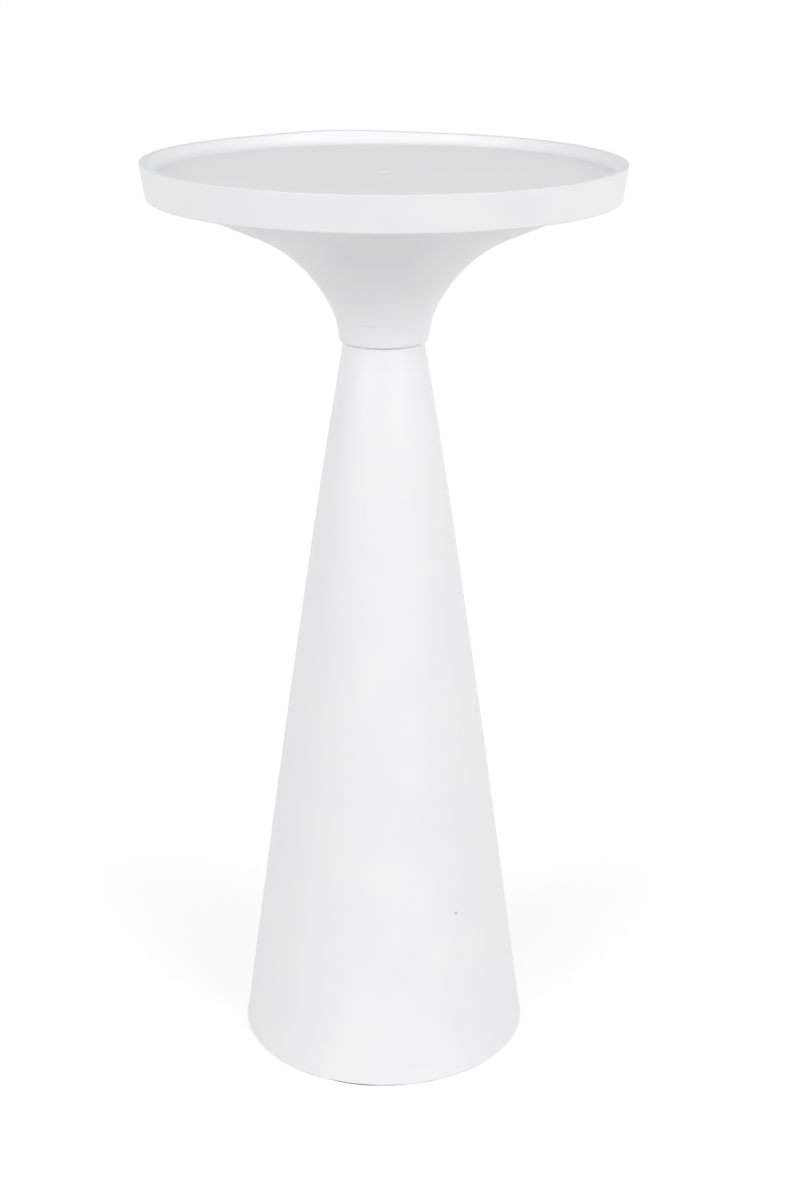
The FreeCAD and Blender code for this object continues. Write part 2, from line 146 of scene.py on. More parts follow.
def count(name, description, default):
    """A whole number that a user may change."""
    return bpy.props.IntProperty(name=name, description=description, default=default, min=1)


def linear(hex_colour):
    """Linear red, green, blue and alpha of an sRGB colour such as #F2F2F1."""
    parts = [int(hex_colour[i:i + 2], 16) / 255 for i in (1, 3, 5)]
    return [c / 12.92 if c <= 0.04045 else ((c + 0.055) / 1.055) ** 2.4 for c in parts] + [1.0]


def colour(name, description, hex_colour):
    """A colour that a user may change."""
    return bpy.props.FloatVectorProperty(
        name=name, description=description, default=linear(hex_colour), size=4, min=0, max=1, subtype="COLOR")


def group(kind, name, description):
    """A group of settings that a user may change."""
    return bpy.props.PointerProperty(type=kind, name=name, description=description)


class TraySizes(bpy.types.PropertyGroup):
    """Sizes of the cast tray."""

    diameter: mm("Diameter", "Across the rim, before its edge is rounded", 300)
    depth: mm("Depth", "From the rim down to the tray's floor", 7.5)
    rim_width: mm("Rim width", "Flat top of the rim", 5)
    rim_draft: mm("Rim draft", "How far the rim's inner side leans in", 1)
    rim_round: mm("Rim round", "Radius of the rim's inner edge", 1.2)
    rim_edge: mm("Rim edge", "Radius of the rim's outer edge", 0.5)
    cove: mm("Cove", "Radius between the floor and the rim", 5)
    band_height: mm("Band height", "Height of the outer band", 22)
    band_draft: mm("Band draft", "How far the band leans in towards its lower edge", 3)
    band_wall: mm("Band wall", "Thickness of the band under the floor", 5)
    band_round: mm("Band round", "Radius of the band's lower edge", 1.5)
    channel: mm("Channel", "Gap between the band and the ring inside it", 5.3)
    ring_wall: mm("Ring wall", "Thickness of the ring round the trumpet's lip", 4)
    ring_recess: mm("Ring recess", "How far the ring stays above the band's lower edge", 2)
    ring_round: mm("Ring round", "Radius of the ring's lower edges", 0.6)
    root_round: mm("Root round", "Radius in the corners of the channel", 1.5)
    boss_diameter: mm("Boss diameter", "Boss that takes the tie rod", 34)
    boss_fillet: mm("Boss fillet", "Radius at the root of the boss", 4)
    tapping_diameter: mm("Tapping diameter", "Tapped hole in the boss", 8.1)
    tapping_depth: mm("Tapping depth", "Depth of the tapped hole", 12)
    sink_diameter: mm("Sink diameter", "Shallow sink in the middle of the floor", 11)
    sink_depth: mm("Sink depth", "Depth of the sink", 0.8)
    sink_draft: mm("Sink draft", "How far the sink's side leans in", 1.2)
    sink_round: mm("Sink round", "Radius of the sink's two edges", 0.5)
    warp: mm("Warp", "How far the band dips on the right and rises on the left", 0.7)
    rise: mm("Rise", "How far the rim swells upwards at one place", 1.5)
    rise_place: angle("Rise place", "Where the rim swells, from the right and against the clock", 103)
    rise_span: angle("Rise span", "Width of the swelling", 15)


class TrumpetSizes(bpy.types.PropertyGroup):
    """Sizes of the hollow trumpet under the tray."""

    neck_diameter: mm("Neck diameter", "Width of the neck at the seam", 56.6)
    neck_draft: angle("Neck draft", "Lean of the neck's straight side", 7.6)
    neck_length: mm("Neck length", "Straight side of the neck", 7.9)
    neck_round: mm("Neck round", "Radius of the neck's lower edge", 1.5)
    throat_radius: mm("Throat radius", "Radius of the curve above the neck", 44)
    throat_sweep: angle("Throat sweep", "Turn of the curve above the neck", 18)
    flare_angle: angle("Flare angle", "Slope of the straight flare below the tray", 23.6)
    wall: mm("Wall", "Wall of the trumpet", 4)
    register_diameter: mm("Register diameter", "Bore that takes the coupler", 42)
    register_depth: mm("Register depth", "Depth of that bore", 12)


class ConeSizes(bpy.types.PropertyGroup):
    """Sizes of the hollow cone."""

    top_diameter: mm("Top diameter", "Width of the cone at the seam", 51.6)
    foot_diameter: mm("Foot diameter", "Width of the foot, before its edge is rounded", 194.6)
    lower_taper: angle("Lower taper", "Lean of the lower side", 7.82)
    lower_length: mm("Lower length", "Height of the lower side", 228)
    upper_taper: angle("Upper taper", "Lean of the upper side", 9.69)
    upper_length: mm("Upper length", "Height of the upper side", 87)
    blend: mm("Blend", "Half length of the curve that joins two tapers", 38)
    wall: mm("Wall", "Wall of the cone", 3)
    land_thickness: mm("Land thickness", "Plate that closes the top", 4)
    land_bore: mm("Land bore", "Hole in that plate", 28)
    land_round: mm("Land round", "Radius of the top edge", 1)
    seam_lift: mm("Seam lift", "How far the coat builds up the top edge into the seam", 0.5)
    foot_round: mm("Foot round", "Radius of the lower edge", 0.8)
    inner_round: mm("Inner round", "Radius of the edges inside", 0.4)


class FeltSizes(bpy.types.PropertyGroup):
    """Sizes of the felt under the foot."""

    access_diameter: mm("Access diameter", "Hole for the spanner", 40)
    edge_round: mm("Edge round", "Radius of the cut edges", 0.5)
    wander: mm("Wander", "How far the cut edge wanders", 1.8)
    wander_length: mm("Wander length", "Length of that wander", 26)
    seed: count("Seed", "Draws another cut of the same size", 33)


class HandFinish(bpy.types.PropertyGroup):
    """Small unevenness of castings that were finished by hand."""

    wave: mm("Wave", "Height of the waves in the castings' sides", 0.2)
    wave_length: mm("Wave length", "Length of those waves", 70)
    seed: count("Seed", "Draws other waves of the same size", 4)


class FastenerSizes(bpy.types.PropertyGroup):
    """Sizes of the tie rod, its nuts and washers and the cover screws."""

    rod_pitch: mm("Rod pitch", "Thread pitch of the tie rod", 1.25)
    rod_end: mm("Rod end", "Width of the rod's ends inside their chamfers", 6.4)
    nut_face: mm("Nut face", "Diameter of a nut's round faces", 12.2)
    nut_bore: mm("Nut bore", "Bore of a nut", 8.1)
    nut_countersink: mm("Nut countersink", "Chamfer at the nut's bore", 0.5)
    spring_bore: mm("Spring bore", "Bore of a spring washer", 8.6)
    spring_split: mm("Spring split", "Gap of a spring washer", 1.6)
    spring_round: mm("Spring round", "Edge radius of a spring washer", 0.25)
    screw_circle: mm("Screw circle", "Circle that the cover screws stand on", 130)
    screw_count: count("Screw count", "Cover screws round the circle", 3)
    screw_diameter: mm("Screw diameter", "Shank of a cover screw", 5)
    screw_pitch: mm("Screw pitch", "Thread pitch of a cover screw", 0.8)
    screw_head: mm("Screw head", "Head of a cover screw", 9.6)
    screw_socket: mm("Screw socket", "Hexagon socket across its flats", 3)
    socket_depth: mm("Socket depth", "Depth of the hexagon socket", 1.8)
    screw_seed: count("Screw seed", "Draws other turns of the screws' sockets", 2)


class FinishColours(bpy.types.PropertyGroup):
    """Colours of the table's materials."""

    white_coat: colour("White coat", "Coat on the castings", "#F3F3F4")
    coat_shade: colour("Coat shade", "Where the coat lies thinner", "#F1F1F3")
    coat_mark: colour("Coat mark", "Pinholes and hairlines in the coat", "#6E6A68")
    # The coupler's near black also paints shade into the seam, on top of the seam's own shadow
    black_steel: colour("Black steel", "Blackened coupler in the seam", "#3A3A3B")
    steel_wear: colour("Steel wear", "Where the blackening is rubbed thin", "#5B5753")
    zinc_steel: colour("Zinc steel", "Plated rod, nuts, washers and screws", "#C4C7C8")
    zinc_tint: colour("Zinc tint", "Cloudy blue of the plating", "#AEB6C0")
    cast_iron: colour("Cast iron", "Weight in the foot", "#4A4846")
    iron_rust: colour("Iron rust", "First rust on the weight", "#5C4436")
    fibreboard: colour("Fibreboard", "Board that closes the foot", "#A27F57")
    board_fibre: colour("Board fibre", "Dark fibres in the board", "#7C5D3C")
    felt: colour("Felt", "Felt under the foot", "#9A6F5A")
    felt_shade: colour("Felt shade", "Matted and soiled felt", "#6B5448")


class StudioSettings(bpy.types.PropertyGroup):
    """Camera, lights and floor."""

    camera_distance: length("Camera distance", "From the table's axis to the camera", 1.2309)
    camera_height: length("Camera height", "From the floor to the camera", 0.7558)
    camera_pitch: angle("Camera pitch", "How far the camera looks down", 19.812)
    lens: amount("Lens", "Focal length in millimetres on a 36 mm sensor", 59.114)
    shift: amount("Shift", "Sideways shift that puts the table left of the middle", 0.0134)
    floor_size: length("Floor size", "Side of the square floor", 9.0)
    floor_colour: colour("Floor", "White paper sweep under and behind the table", "#F5F5F5")
    floor_front: colour("Floor front", "Studio floor in front of the paper", "#C4C4C4")
    paper_edge: length("Paper edge", "From the table's axis forward to the edge of the paper", 0.475)
    paper_fade: length("Paper fade", "Width over which the paper passes into the floor", 0.15)
    floor_shadow: amount("Floor shadow", "Share of the floor's shade that the camera sees", 0.6)
    floor_white: amount("Floor white", "White that the camera sees besides that shade, at the table", 0.545)
    floor_white_far: amount("Floor white far off", "The same brightness far from the table", 0.74)
    shadow_reach: length("Shadow reach", "From the table's axis to where the floor is only white", 1.2)
    surround: amount("Surround", "Light from the white surround at the height of the eye", 0.58)
    surround_top: amount("Surround overhead", "Light from the white surround overhead", 0.39)
    key_power: amount("Key power", "Watts of the softbox in front on the right", 18.1)
    fill_power: amount("Fill power", "Watts of the softbox in front on the left", 18.7)
    side_power: amount("Side power", "Watts of the low softbox on the right", 3.1)
    softbox_size: length("Softbox size", "Side of each softbox", 1.4)


class SideTable(bpy.types.PropertyGroup):
    """All that a user may change on the side table."""

    tray: group(TraySizes, "Tray", "Cast tray")
    trumpet: group(TrumpetSizes, "Trumpet", "Hollow trumpet")
    cone: group(ConeSizes, "Cone", "Hollow cone")
    felt: group(FeltSizes, "Felt", "Felt under the foot")
    hand: group(HandFinish, "Hand finish", "Unevenness of the castings")
    fasteners: group(FastenerSizes, "Fasteners", "Rod, nuts, washers and screws")
    colours: group(FinishColours, "Colours", "Colours of the materials")
    studio: group(StudioSettings, "Studio", "Camera, lights and floor")


# Half sections: points of radius and height that are turned round the table's axis

def rounded(corners, closed=False):
    """Points along straight runs whose corners are given as radius, height and rounding."""
    points = []
    for i, (radius, height, rounding) in enumerate(corners):
        here = Vector((radius, height))
        if not rounding:
            points.append((here, False))
            continue
        back = (Vector(corners[i - 1][:2]) - here).normalized()
        ahead = (Vector(corners[(i + 1) % len(corners)][:2]) - here).normalized()
        half = back.angle(ahead) / 2
        centre = here + (back + ahead).normalized() * (rounding / math.sin(half))
        start = here + back * (rounding / math.tan(half)) - centre
        end = here + ahead * (rounding / math.tan(half)) - centre
        sweep = -start.angle_signed(end)
        arc = rounding * abs(sweep)
        steps = max(FEWEST_ARC_STEPS, math.ceil(abs(sweep) / ARC_STEP), math.ceil(arc / LONGEST_RUN))
        for step in range(steps + 1):
            turn = sweep * step / steps
            arm = Vector((start.x * math.cos(turn) - start.y * math.sin(turn),
                          start.x * math.sin(turn) + start.y * math.cos(turn)))
            points.append((centre + arm, 0 < step < steps))
    return fill_runs(points, closed)


def fill_runs(points, closed):
    """Divide the straight runs between points, each given with whether it lies inside an arc."""
    following = points[1:] + points[:1] if closed else points[1:]
    filled = []
    for (start, start_in_arc), (end, end_in_arc) in zip(points, following):
        filled.append(start)
        run = (end - start).length
        if start_in_arc or end_in_arc or run < SHORTEST_SUPPORTED:
            continue
        inner = run - 2 * CORNER_SUPPORT
        steps = max(1, math.ceil(inner / LONGEST_RUN))
        for step in range(steps + 1):
            filled.append(start.lerp(end, (CORNER_SUPPORT + inner * step / steps) / run))
    filled.append(points[0][0] if closed else points[-1][0])
    return filled


def along(slope):
    """Unit vector up a wall of that slope."""
    return Vector((math.cos(slope), math.sin(slope)))


def tray_section(sizes):
    """Half section of the tray, from the middle of its floor round the band to the hole in its boss."""
    floor_top = TABLE_HEIGHT - sizes.depth
    band_bottom = TABLE_HEIGHT - sizes.band_height
    tray_radius = sizes.diameter / 2
    band_radius = tray_radius - sizes.band_draft
    rim_radius = tray_radius - sizes.rim_width
    skirt_radius = band_radius - sizes.band_wall
    ring_outer = skirt_radius - sizes.channel
    ring_inner = ring_outer - sizes.ring_wall
    ring_bottom = band_bottom + sizes.ring_recess
    boss_radius = sizes.boss_diameter / 2
    tapping_radius = sizes.tapping_diameter / 2
    tapping_end = BOSS_BOTTOM + sizes.tapping_depth
    sink_radius = sizes.sink_diameter / 2
    sink_bottom = floor_top - sizes.sink_depth
    return rounded([
        (0, sink_bottom, 0),
        (sink_radius - sizes.sink_draft, sink_bottom, sizes.sink_round),
        (sink_radius, floor_top, sizes.sink_round),
        (rim_radius - sizes.rim_draft, floor_top, sizes.cove),
        (rim_radius, TABLE_HEIGHT, sizes.rim_round),
        (tray_radius, TABLE_HEIGHT, sizes.rim_edge),
        (band_radius, band_bottom, sizes.band_round),
        (skirt_radius, band_bottom, sizes.ring_round),
        (skirt_radius, TRAY_UNDERSIDE, sizes.root_round),
        (ring_outer, TRAY_UNDERSIDE, sizes.root_round),
        (ring_outer, ring_bottom, sizes.ring_round),
        (ring_inner, ring_bottom, sizes.ring_round),
        (ring_inner, TRAY_UNDERSIDE, 0),
        (boss_radius, TRAY_UNDERSIDE, sizes.boss_fillet),
        (boss_radius, BOSS_BOTTOM, sizes.ring_round),
        (tapping_radius, BOSS_BOTTOM, 0),
        (tapping_radius, tapping_end, 0),
        (0, tapping_end, 0),
    ])


def trumpet_section(sizes, band_bottom):
    """Half section of the trumpet: its outer side down to the seam, then the bore and the inner side."""
    register_radius = sizes.register_diameter / 2
    register_top = NECK_BOTTOM + sizes.register_depth
    neck_slope = math.pi / 2 - sizes.neck_draft
    throat_slope = neck_slope - sizes.throat_sweep
    throat_tangent = sizes.throat_radius * math.tan(sizes.throat_sweep / 2)
    seam_corner = Vector((sizes.neck_diameter / 2, NECK_BOTTOM))
    lip = Vector((BELL_RADIUS, band_bottom))
    # throat and bell round off the corners between the neck, their common tangent and the flare
    throat_corner = seam_corner + along(neck_slope) * (sizes.neck_length + throat_tangent)
    flare = along(sizes.flare_angle)
    tangent = along(throat_slope)
    tangent_length = (lip - throat_corner).cross(flare) / tangent.cross(flare)
    bell_corner = throat_corner + tangent * tangent_length
    bell_radius = (tangent_length - throat_tangent) / math.tan((throat_slope - sizes.flare_angle) / 2)
    side = rounded([
        (*lip, 0),
        (*bell_corner, bell_radius),
        (*throat_corner, sizes.throat_radius),
        (*seam_corner, sizes.neck_round),
        (register_radius, NECK_BOTTOM, 0),
    ])
    # the inner side lies one wall further in, between the lip and the ledge over the bore
    lip_inside = BELL_RADIUS - sizes.wall
    inner = []
    for above, below in zip(side, side[1:]):
        inward = (above - below).orthogonal().normalized()
        inside = above.lerp(below, 0.5) + inward * sizes.wall
        if inside.y > register_top and inside.x < lip_inside:
            inner.append(inside)
    bore = rounded([
        (register_radius, NECK_BOTTOM, 0),
        (register_radius, register_top, 0),
        (inner[-1].x, register_top, 0),
    ])
    top = rounded([
        (lip_inside, inner[0].y, 0),
        (lip_inside, TRAY_UNDERSIDE, 0),
        (BELL_RADIUS, TRAY_UNDERSIDE, 0),
        (*lip, 0),
    ])
    return side + bore + inner[::-1] + top


def cone_section(sizes):
    """Half section of the cone: its side, which swells slightly, the land at its top and its inner side."""
    top_radius = sizes.top_diameter / 2
    foot_radius = sizes.foot_diameter / 2
    lower_break = FOOT_BOTTOM + sizes.lower_length
    lower_radius = foot_radius - sizes.lower_length * math.tan(sizes.lower_taper)
    upper_break = CONE_TOP - sizes.upper_length
    upper_radius = top_radius + sizes.upper_length * math.tan(sizes.upper_taper)
    middle_taper = math.atan2(lower_radius - upper_radius, upper_break - lower_break)
    lower_blend = sizes.blend / math.tan((middle_taper - sizes.lower_taper) / 2)
    upper_blend = sizes.blend / math.tan((sizes.upper_taper - middle_taper) / 2)
    land_bore = sizes.land_bore / 2
    land_top = CONE_TOP + sizes.seam_lift
    land_under = CONE_TOP - sizes.land_thickness
    land_edge = top_radius + sizes.land_thickness * math.tan(sizes.upper_taper) - sizes.wall
    return rounded([
        (foot_radius, FOOT_BOTTOM, sizes.foot_round),
        (lower_radius, lower_break, lower_blend),
        (upper_radius, upper_break, upper_blend),
        (top_radius, land_top, sizes.land_round),
        (land_bore, land_top, sizes.inner_round),
        (land_bore, land_under, sizes.inner_round),
        (land_edge, land_under, sizes.inner_round),
        (upper_radius - sizes.wall, upper_break, upper_blend),
        (lower_radius - sizes.wall, lower_break, lower_blend),
        (foot_radius - sizes.wall, FOOT_BOTTOM, sizes.inner_round),
    ], closed=True)


def felt_section(sizes):
    """Half section of the felt ring, softly rounded where it was cut."""
    access_radius = sizes.access_diameter / 2
    return rounded([
        (FELT_RADIUS, FLOOR_LEVEL, sizes.edge_round),
        (FELT_RADIUS, FELT_TOP, sizes.edge_round),
        (access_radius, FELT_TOP, sizes.edge_round),
        (access_radius, FLOOR_LEVEL, sizes.edge_round),
    ], closed=True)


# Fasteners: rows of radius, height and the three rules

def thread_rows(radius, pitch, bottom, top):
    """Rows of a thread, from a turn below its bottom to past its top, where the tree cuts it off."""
    radii = {"root": radius - THREAD_DEPTH * pitch, "crest": radius}
    turns = math.ceil((top - bottom) / pitch) + 2
    return [(radii[kind], bottom + (turn - 1 + share) * pitch, *THREADED)
            for turn in range(turns) for share, kind in THREAD_PROFILE]


def nut_rows(sizes, flat, bottom, top):
    """Rows of a hexagon nut with round faces, chamfered corners and a countersunk bore."""
    slope = math.tan(NUT_CHAMFER)
    face = sizes.nut_face / 2
    bore = sizes.nut_bore / 2
    mouth = bore + sizes.nut_countersink
    chamfer = slope * (flat - face)
    return [
        (mouth, bottom, *PLAIN),
        (face, bottom, *PLAIN),
        (flat, bottom + chamfer, 1, -slope, 0),
        (flat, top - chamfer, 1, slope, 0),
        (face, top, *PLAIN),
        (mouth, top, *PLAIN),
        (bore, top - sizes.nut_countersink, *PLAIN),
        (bore, bottom + sizes.nut_countersink, *PLAIN),
        (mouth, bottom, *PLAIN),
    ]


def screw_rows(sizes, bottom, top):
    """Rows of a countersunk screw that stands on its head: hexagon socket, head and thread."""
    head = sizes.screw_head / 2
    socket = sizes.screw_socket / 2
    radius = sizes.screw_diameter / 2
    root = radius - THREAD_DEPTH * sizes.screw_pitch
    socket_end = bottom + sizes.socket_depth
    neck = bottom + head - root
    return [
        (0, socket_end + SOCKET_TIP, *PLAIN),
        (socket, socket_end, 1, 0, 0),
        (socket, bottom, 1, 0, 0),
        (head - HEAD_LAND, bottom, *PLAIN),
        (head - HEAD_LAND, bottom + HEAD_LAND, *PLAIN),
        (root, neck, *PLAIN),
        *thread_rows(radius, sizes.screw_pitch, neck, top),
        (0, top, *PLAIN),
    ]


# Node trees

def node(tree, kind, inputs=(), **settings):
    """Add a node, then set or link its inputs, which are listed in order or by socket.

    A kind in capitals is the operation of a Math node. A node given as an input stands for its first output.
    """
    if kind.isupper():
        settings["operation"] = kind
        kind = "ShaderNodeMath"
    made = tree.nodes.new(kind)
    for name, setting in settings.items():
        setattr(made, name, setting)
    for socket, given in inputs.items() if isinstance(inputs, dict) else enumerate(inputs):
        if isinstance(given, bpy.types.Node):
            given = given.outputs[0]
        if isinstance(given, bpy.types.NodeSocket):
            tree.links.new(given, made.inputs[socket])
        else:
            made.inputs[socket].default_value = given
    return made


def new_tree(name, inputs):
    """An empty geometry tree with inputs, which are listed by their kinds, and its input node."""
    tree = bpy.data.node_groups.new(name, "GeometryNodeTree")
    tree.is_modifier = True
    tree.interface.new_socket(name="Geometry", in_out="OUTPUT", socket_type="NodeSocketGeometry")
    for kind, labels in inputs.items():
        for label in labels:
            tree.interface.new_socket(name=label, in_out="INPUT", socket_type=f"NodeSocket{kind}")
    return tree, node(tree, "NodeGroupInput")


def end_tree(tree, given, geometry):
    """Make instances real, give the piece its material and hand it out."""
    realized = node(tree, "GeometryNodeRealizeInstances", {"Geometry": geometry})
    coated = node(tree, "GeometryNodeSetMaterial", {
        "Geometry": realized, "Material": given.outputs["Material"]})
    node(tree, "NodeGroupOutput", {"Geometry": coated})


def spin_grid(tree, given):
    """Lay a grid with a row for each point of the section and a column for each step of the turn.

    Gives the grid, and for each of its points the row, the share of a turn, the turn, and the radius
    and height that the section has there.
    """
    section, segments = given.outputs["Section"], given.outputs["Segments"]
    rows = node(tree, "GeometryNodeAttributeDomainSize", {"Geometry": section})
    columns = node(tree, "ADD", [segments, 1.0])
    grid = node(tree, "GeometryNodeMeshGrid", {"Vertices X": columns, "Vertices Y": rows})
    index = node(tree, "GeometryNodeInputIndex")
    row = node(tree, "MODULO", [index, rows])
    lines = node(tree, "DIVIDE", [index, rows])
    column = node(tree, "FLOOR", [lines])
    share = node(tree, "DIVIDE", [column, segments])
    turn = node(tree, "MULTIPLY", [share, math.tau])
    position = node(tree, "GeometryNodeInputPosition")
    read = node(tree, "GeometryNodeSampleIndex", {"Geometry": section, "Value": position, "Index": row},
                data_type="FLOAT_VECTOR")
    place = node(tree, "ShaderNodeSeparateXYZ", [read]).outputs
    return grid, row, share, turn, place["X"], place["Z"]


def turned_place(tree, turn, radius, height):
    """The point that lies that far round the axis, that far from it and that high."""
    across = node(tree, "COSINE", [turn])
    deep = node(tree, "SINE", [turn])
    return node(tree, "ShaderNodeCombineXYZ", {
        "X": node(tree, "MULTIPLY", [radius, across]),
        "Y": node(tree, "MULTIPLY", [radius, deep]),
        "Z": height})


def close_turn(tree, given, grid, place, crease):
    """Move the grid to its place round the axis, join its seam and poles and mark its sharp edges."""
    wrapped = node(tree, "GeometryNodeSetPosition", {"Geometry": grid, "Position": place})
    merged = node(tree, "GeometryNodeMergeByDistance", {"Geometry": wrapped, "Distance": SAME_POINT})
    edge_turn = node(tree, "GeometryNodeInputMeshEdgeAngle")
    sharp = node(tree, "FunctionNodeCompare", [edge_turn, crease], operation="GREATER_THAN")
    smooth = node(tree, "GeometryNodeSetShadeSmooth", {"Geometry": merged, "Shade Smooth": True})
    creased = node(tree, "GeometryNodeSetShadeSmooth",
                   {"Geometry": smooth, "Selection": sharp, "Shade Smooth": False}, domain="EDGE")
    end_tree(tree, given, creased)


def casting_tree():
    """Tree that turns a section into a casting with hand-finished waves, a warped band and a swollen rim."""
    tree, given = new_tree(CASTING_TREE, {
        "Geometry": ["Section"],
        "Int": ["Segments", "Wave Seed"],
        "Float": [
            "Wave Height", "Wave Length", "Wave From", "Wave To", "Warp Height", "Warp From", "Warp To",
            "Rise Height", "Rise From", "Rise To", "Rise Place", "Rise Span"],
        "Material": ["Material"],
    })
    value = given.outputs
    grid, _, _, turn, radius, height = spin_grid(tree, given)
    # each change grows from nothing to its full height between two radii, or two heights for the rise
    room = {}
    for change, measure in (("Wave", radius), ("Warp", radius), ("Rise", height)):
        room[change] = node(tree, RANGE, {
            "Value": measure, "From Min": value[f"{change} From"], "From Max": value[f"{change} To"],
            "To Max": value[f"{change} Height"]}, interpolation_type="SMOOTHSTEP")
    # waves: smooth noise over the casting's side, none near the axis
    scale = node(tree, "DIVIDE", [1.0, value["Wave Length"]])
    noise = node(tree, NOISE, {
        "Vector": turned_place(tree, turn, radius, height), "W": value["Wave Seed"],
        "Scale": scale, "Detail": 1.0}, noise_dimensions="4D")
    swing = node(tree, RANGE, {"Value": noise, "To Min": -1.0, "To Max": 1.0}, clamp=False)
    wave = node(tree, "MULTIPLY", [swing, room["Wave"]])
    waved = node(tree, "ADD", [radius, wave])
    # warp: the band sways once round the table, and the ring inside it stays level
    side = node(tree, "COSINE", [turn])
    sway = node(tree, "MULTIPLY", [side, room["Warp"]])
    swayed = node(tree, "SUBTRACT", [height, sway])
    # rise: a bell-shaped swelling of the rim, full at its top and gone at its root
    off_place = node(tree, "SUBTRACT", [turn, value["Rise Place"]])
    spans = node(tree, "DIVIDE", [off_place, value["Rise Span"]])
    square = node(tree, "MULTIPLY", [spans, spans])
    fall = node(tree, "SUBTRACT", [0.0, square])
    bell = node(tree, "POWER", [math.e, fall])
    swell = node(tree, "MULTIPLY", [bell, room["Rise"]])
    on_rim = node(tree, "GREATER_THAN", [radius, value["Warp From"]])
    lift = node(tree, "MULTIPLY", [swell, on_rim])
    lifted = node(tree, "ADD", [swayed, lift])
    close_turn(tree, given, grid, turned_place(tree, turn, waved, lifted), CASTING_CREASE)
    return tree


def fastener_tree():
    """Tree that turns a section whose points may lie on a hexagon or on a thread.

    A point's hexagon says how far it goes out to the hexagon round its circle, its drop how far it sinks
    for that, and its thread how far it climbs by the lead as it goes round.
    """
    tree, given = new_tree(FASTENER_TREE, {
        "Geometry": ["Section"],
        "Int": ["Segments"],
        "Float": ["Lead", "Thread Bottom", "Thread Top", "End Radius"],
        "Material": ["Material"],
    })
    value = given.outputs
    grid, row, share, turn, radius, height = spin_grid(tree, given)
    rules = {}
    for name in RULES:
        attribute = node(tree, "GeometryNodeInputNamedAttribute", {"Name": name})
        rules[name] = node(tree, "GeometryNodeSampleIndex", {
            "Geometry": value["Section"], "Value": attribute, "Index": row})
    # hexagon: a flat faces +X, and the radius grows towards the corners
    sixth = math.tau / 6
    eased = node(tree, "ADD", [turn, sixth / 2])
    within = node(tree, "MODULO", [eased, sixth])
    off_flat = node(tree, "SUBTRACT", [within, sixth / 2])
    flat = node(tree, "COSINE", [off_flat])
    cornered = node(tree, "DIVIDE", [radius, flat])
    shaped = node(tree, MIX, {0: rules["hexagon"], 2: radius, 3: cornered})
    growth = node(tree, "SUBTRACT", [shaped, radius])
    sink = node(tree, "MULTIPLY", [growth, rules["drop"]])
    sunk = node(tree, "SUBTRACT", [height, sink])
    # thread: rows climb by the lead, stop at both ends, and shrink there to the end's radius
    climb = node(tree, "MULTIPLY", [share, value["Lead"]])
    climbed = node(tree, "ADD", [sunk, climb])
    stopped = node(tree, "ShaderNodeClamp", {
        "Value": climbed, "Min": value["Thread Bottom"], "Max": value["Thread Top"]})
    above = node(tree, "SUBTRACT", [stopped, value["Thread Bottom"]])
    below = node(tree, "SUBTRACT", [value["Thread Top"], stopped])
    nearest = node(tree, "MINIMUM", [above, below])
    chamfer = node(tree, "ADD", [nearest, value["End Radius"]])
    limited = node(tree, "MINIMUM", [shaped, chamfer])
    final_radius = node(tree, MIX, {0: rules["thread"], 2: shaped, 3: limited})
    final_height = node(tree, MIX, {0: rules["thread"], 2: sunk, 3: stopped})
    place = turned_place(tree, turn, final_radius, final_height)
    close_turn(tree, given, grid, place, FASTENER_CREASE)
    return tree


def spring_washer_tree():
    """Tree that sweeps a rounded bar round the rod and leaves the split on +X."""
    tree, given = new_tree("Split spring washer", {
        "Float": ["Radius", "Width", "Thickness", "Edge Round", "Start Angle", "Sweep Angle", "Middle"],
        "Material": ["Material"],
    })
    value = given.outputs
    ring = node(tree, "GeometryNodeCurveArc", {
        "Resolution": FASTENER_SEGMENTS, "Radius": value["Radius"],
        "Start Angle": value["Start Angle"], "Sweep Angle": value["Sweep Angle"]})
    level = node(tree, "GeometryNodeSetCurveNormal", {"Curve": ring.outputs["Curve"]}, mode="Z_UP")
    bar = node(tree, "GeometryNodeCurvePrimitiveQuadrilateral", {
        "Width": value["Width"], "Height": value["Thickness"]})
    eased = node(tree, "GeometryNodeFilletCurve", {
        "Curve": bar, "Radius": value["Edge Round"], "Count": SPRING_EDGE_POINTS}, mode="POLY")
    swept = node(tree, "GeometryNodeCurveToMesh", {
        "Curve": level, "Profile Curve": eased, "Fill Caps": True})
    lift = node(tree, "ShaderNodeCombineXYZ", {"Z": value["Middle"]})
    end_tree(tree, given, node(tree, "GeometryNodeSetPosition", {"Geometry": swept, "Offset": lift}))
    return tree


def screw_circle_tree():
    """Tree that sets a screw on a circle round the axis and gives each one a turn of its own."""
    tree, given = new_tree("Screw circle", {
        "Geometry": ["Screw"],
        "Int": ["Count", "Seed"],
        "Float": ["Radius"],
        "Material": ["Material"],
    })
    value = given.outputs
    circle = node(tree, "GeometryNodeMeshCircle", {"Vertices": value["Count"], "Radius": value["Radius"]})
    spin = node(tree, "FunctionNodeRandomValue", {"Max": (0, 0, math.tau), "Seed": value["Seed"]},
                data_type="FLOAT_VECTOR")
    turned = node(tree, "FunctionNodeEulerToRotation", {"Euler": spin})
    screws = node(tree, "GeometryNodeInstanceOnPoints", {
        "Points": circle, "Instance": value["Screw"], "Rotation": turned})
    end_tree(tree, given, screws)
    return tree


# Pieces

def add_object(name, data):
    """A new object in the scene."""
    made = bpy.data.objects.new(name, data)
    bpy.context.scene.collection.objects.link(made)
    return made


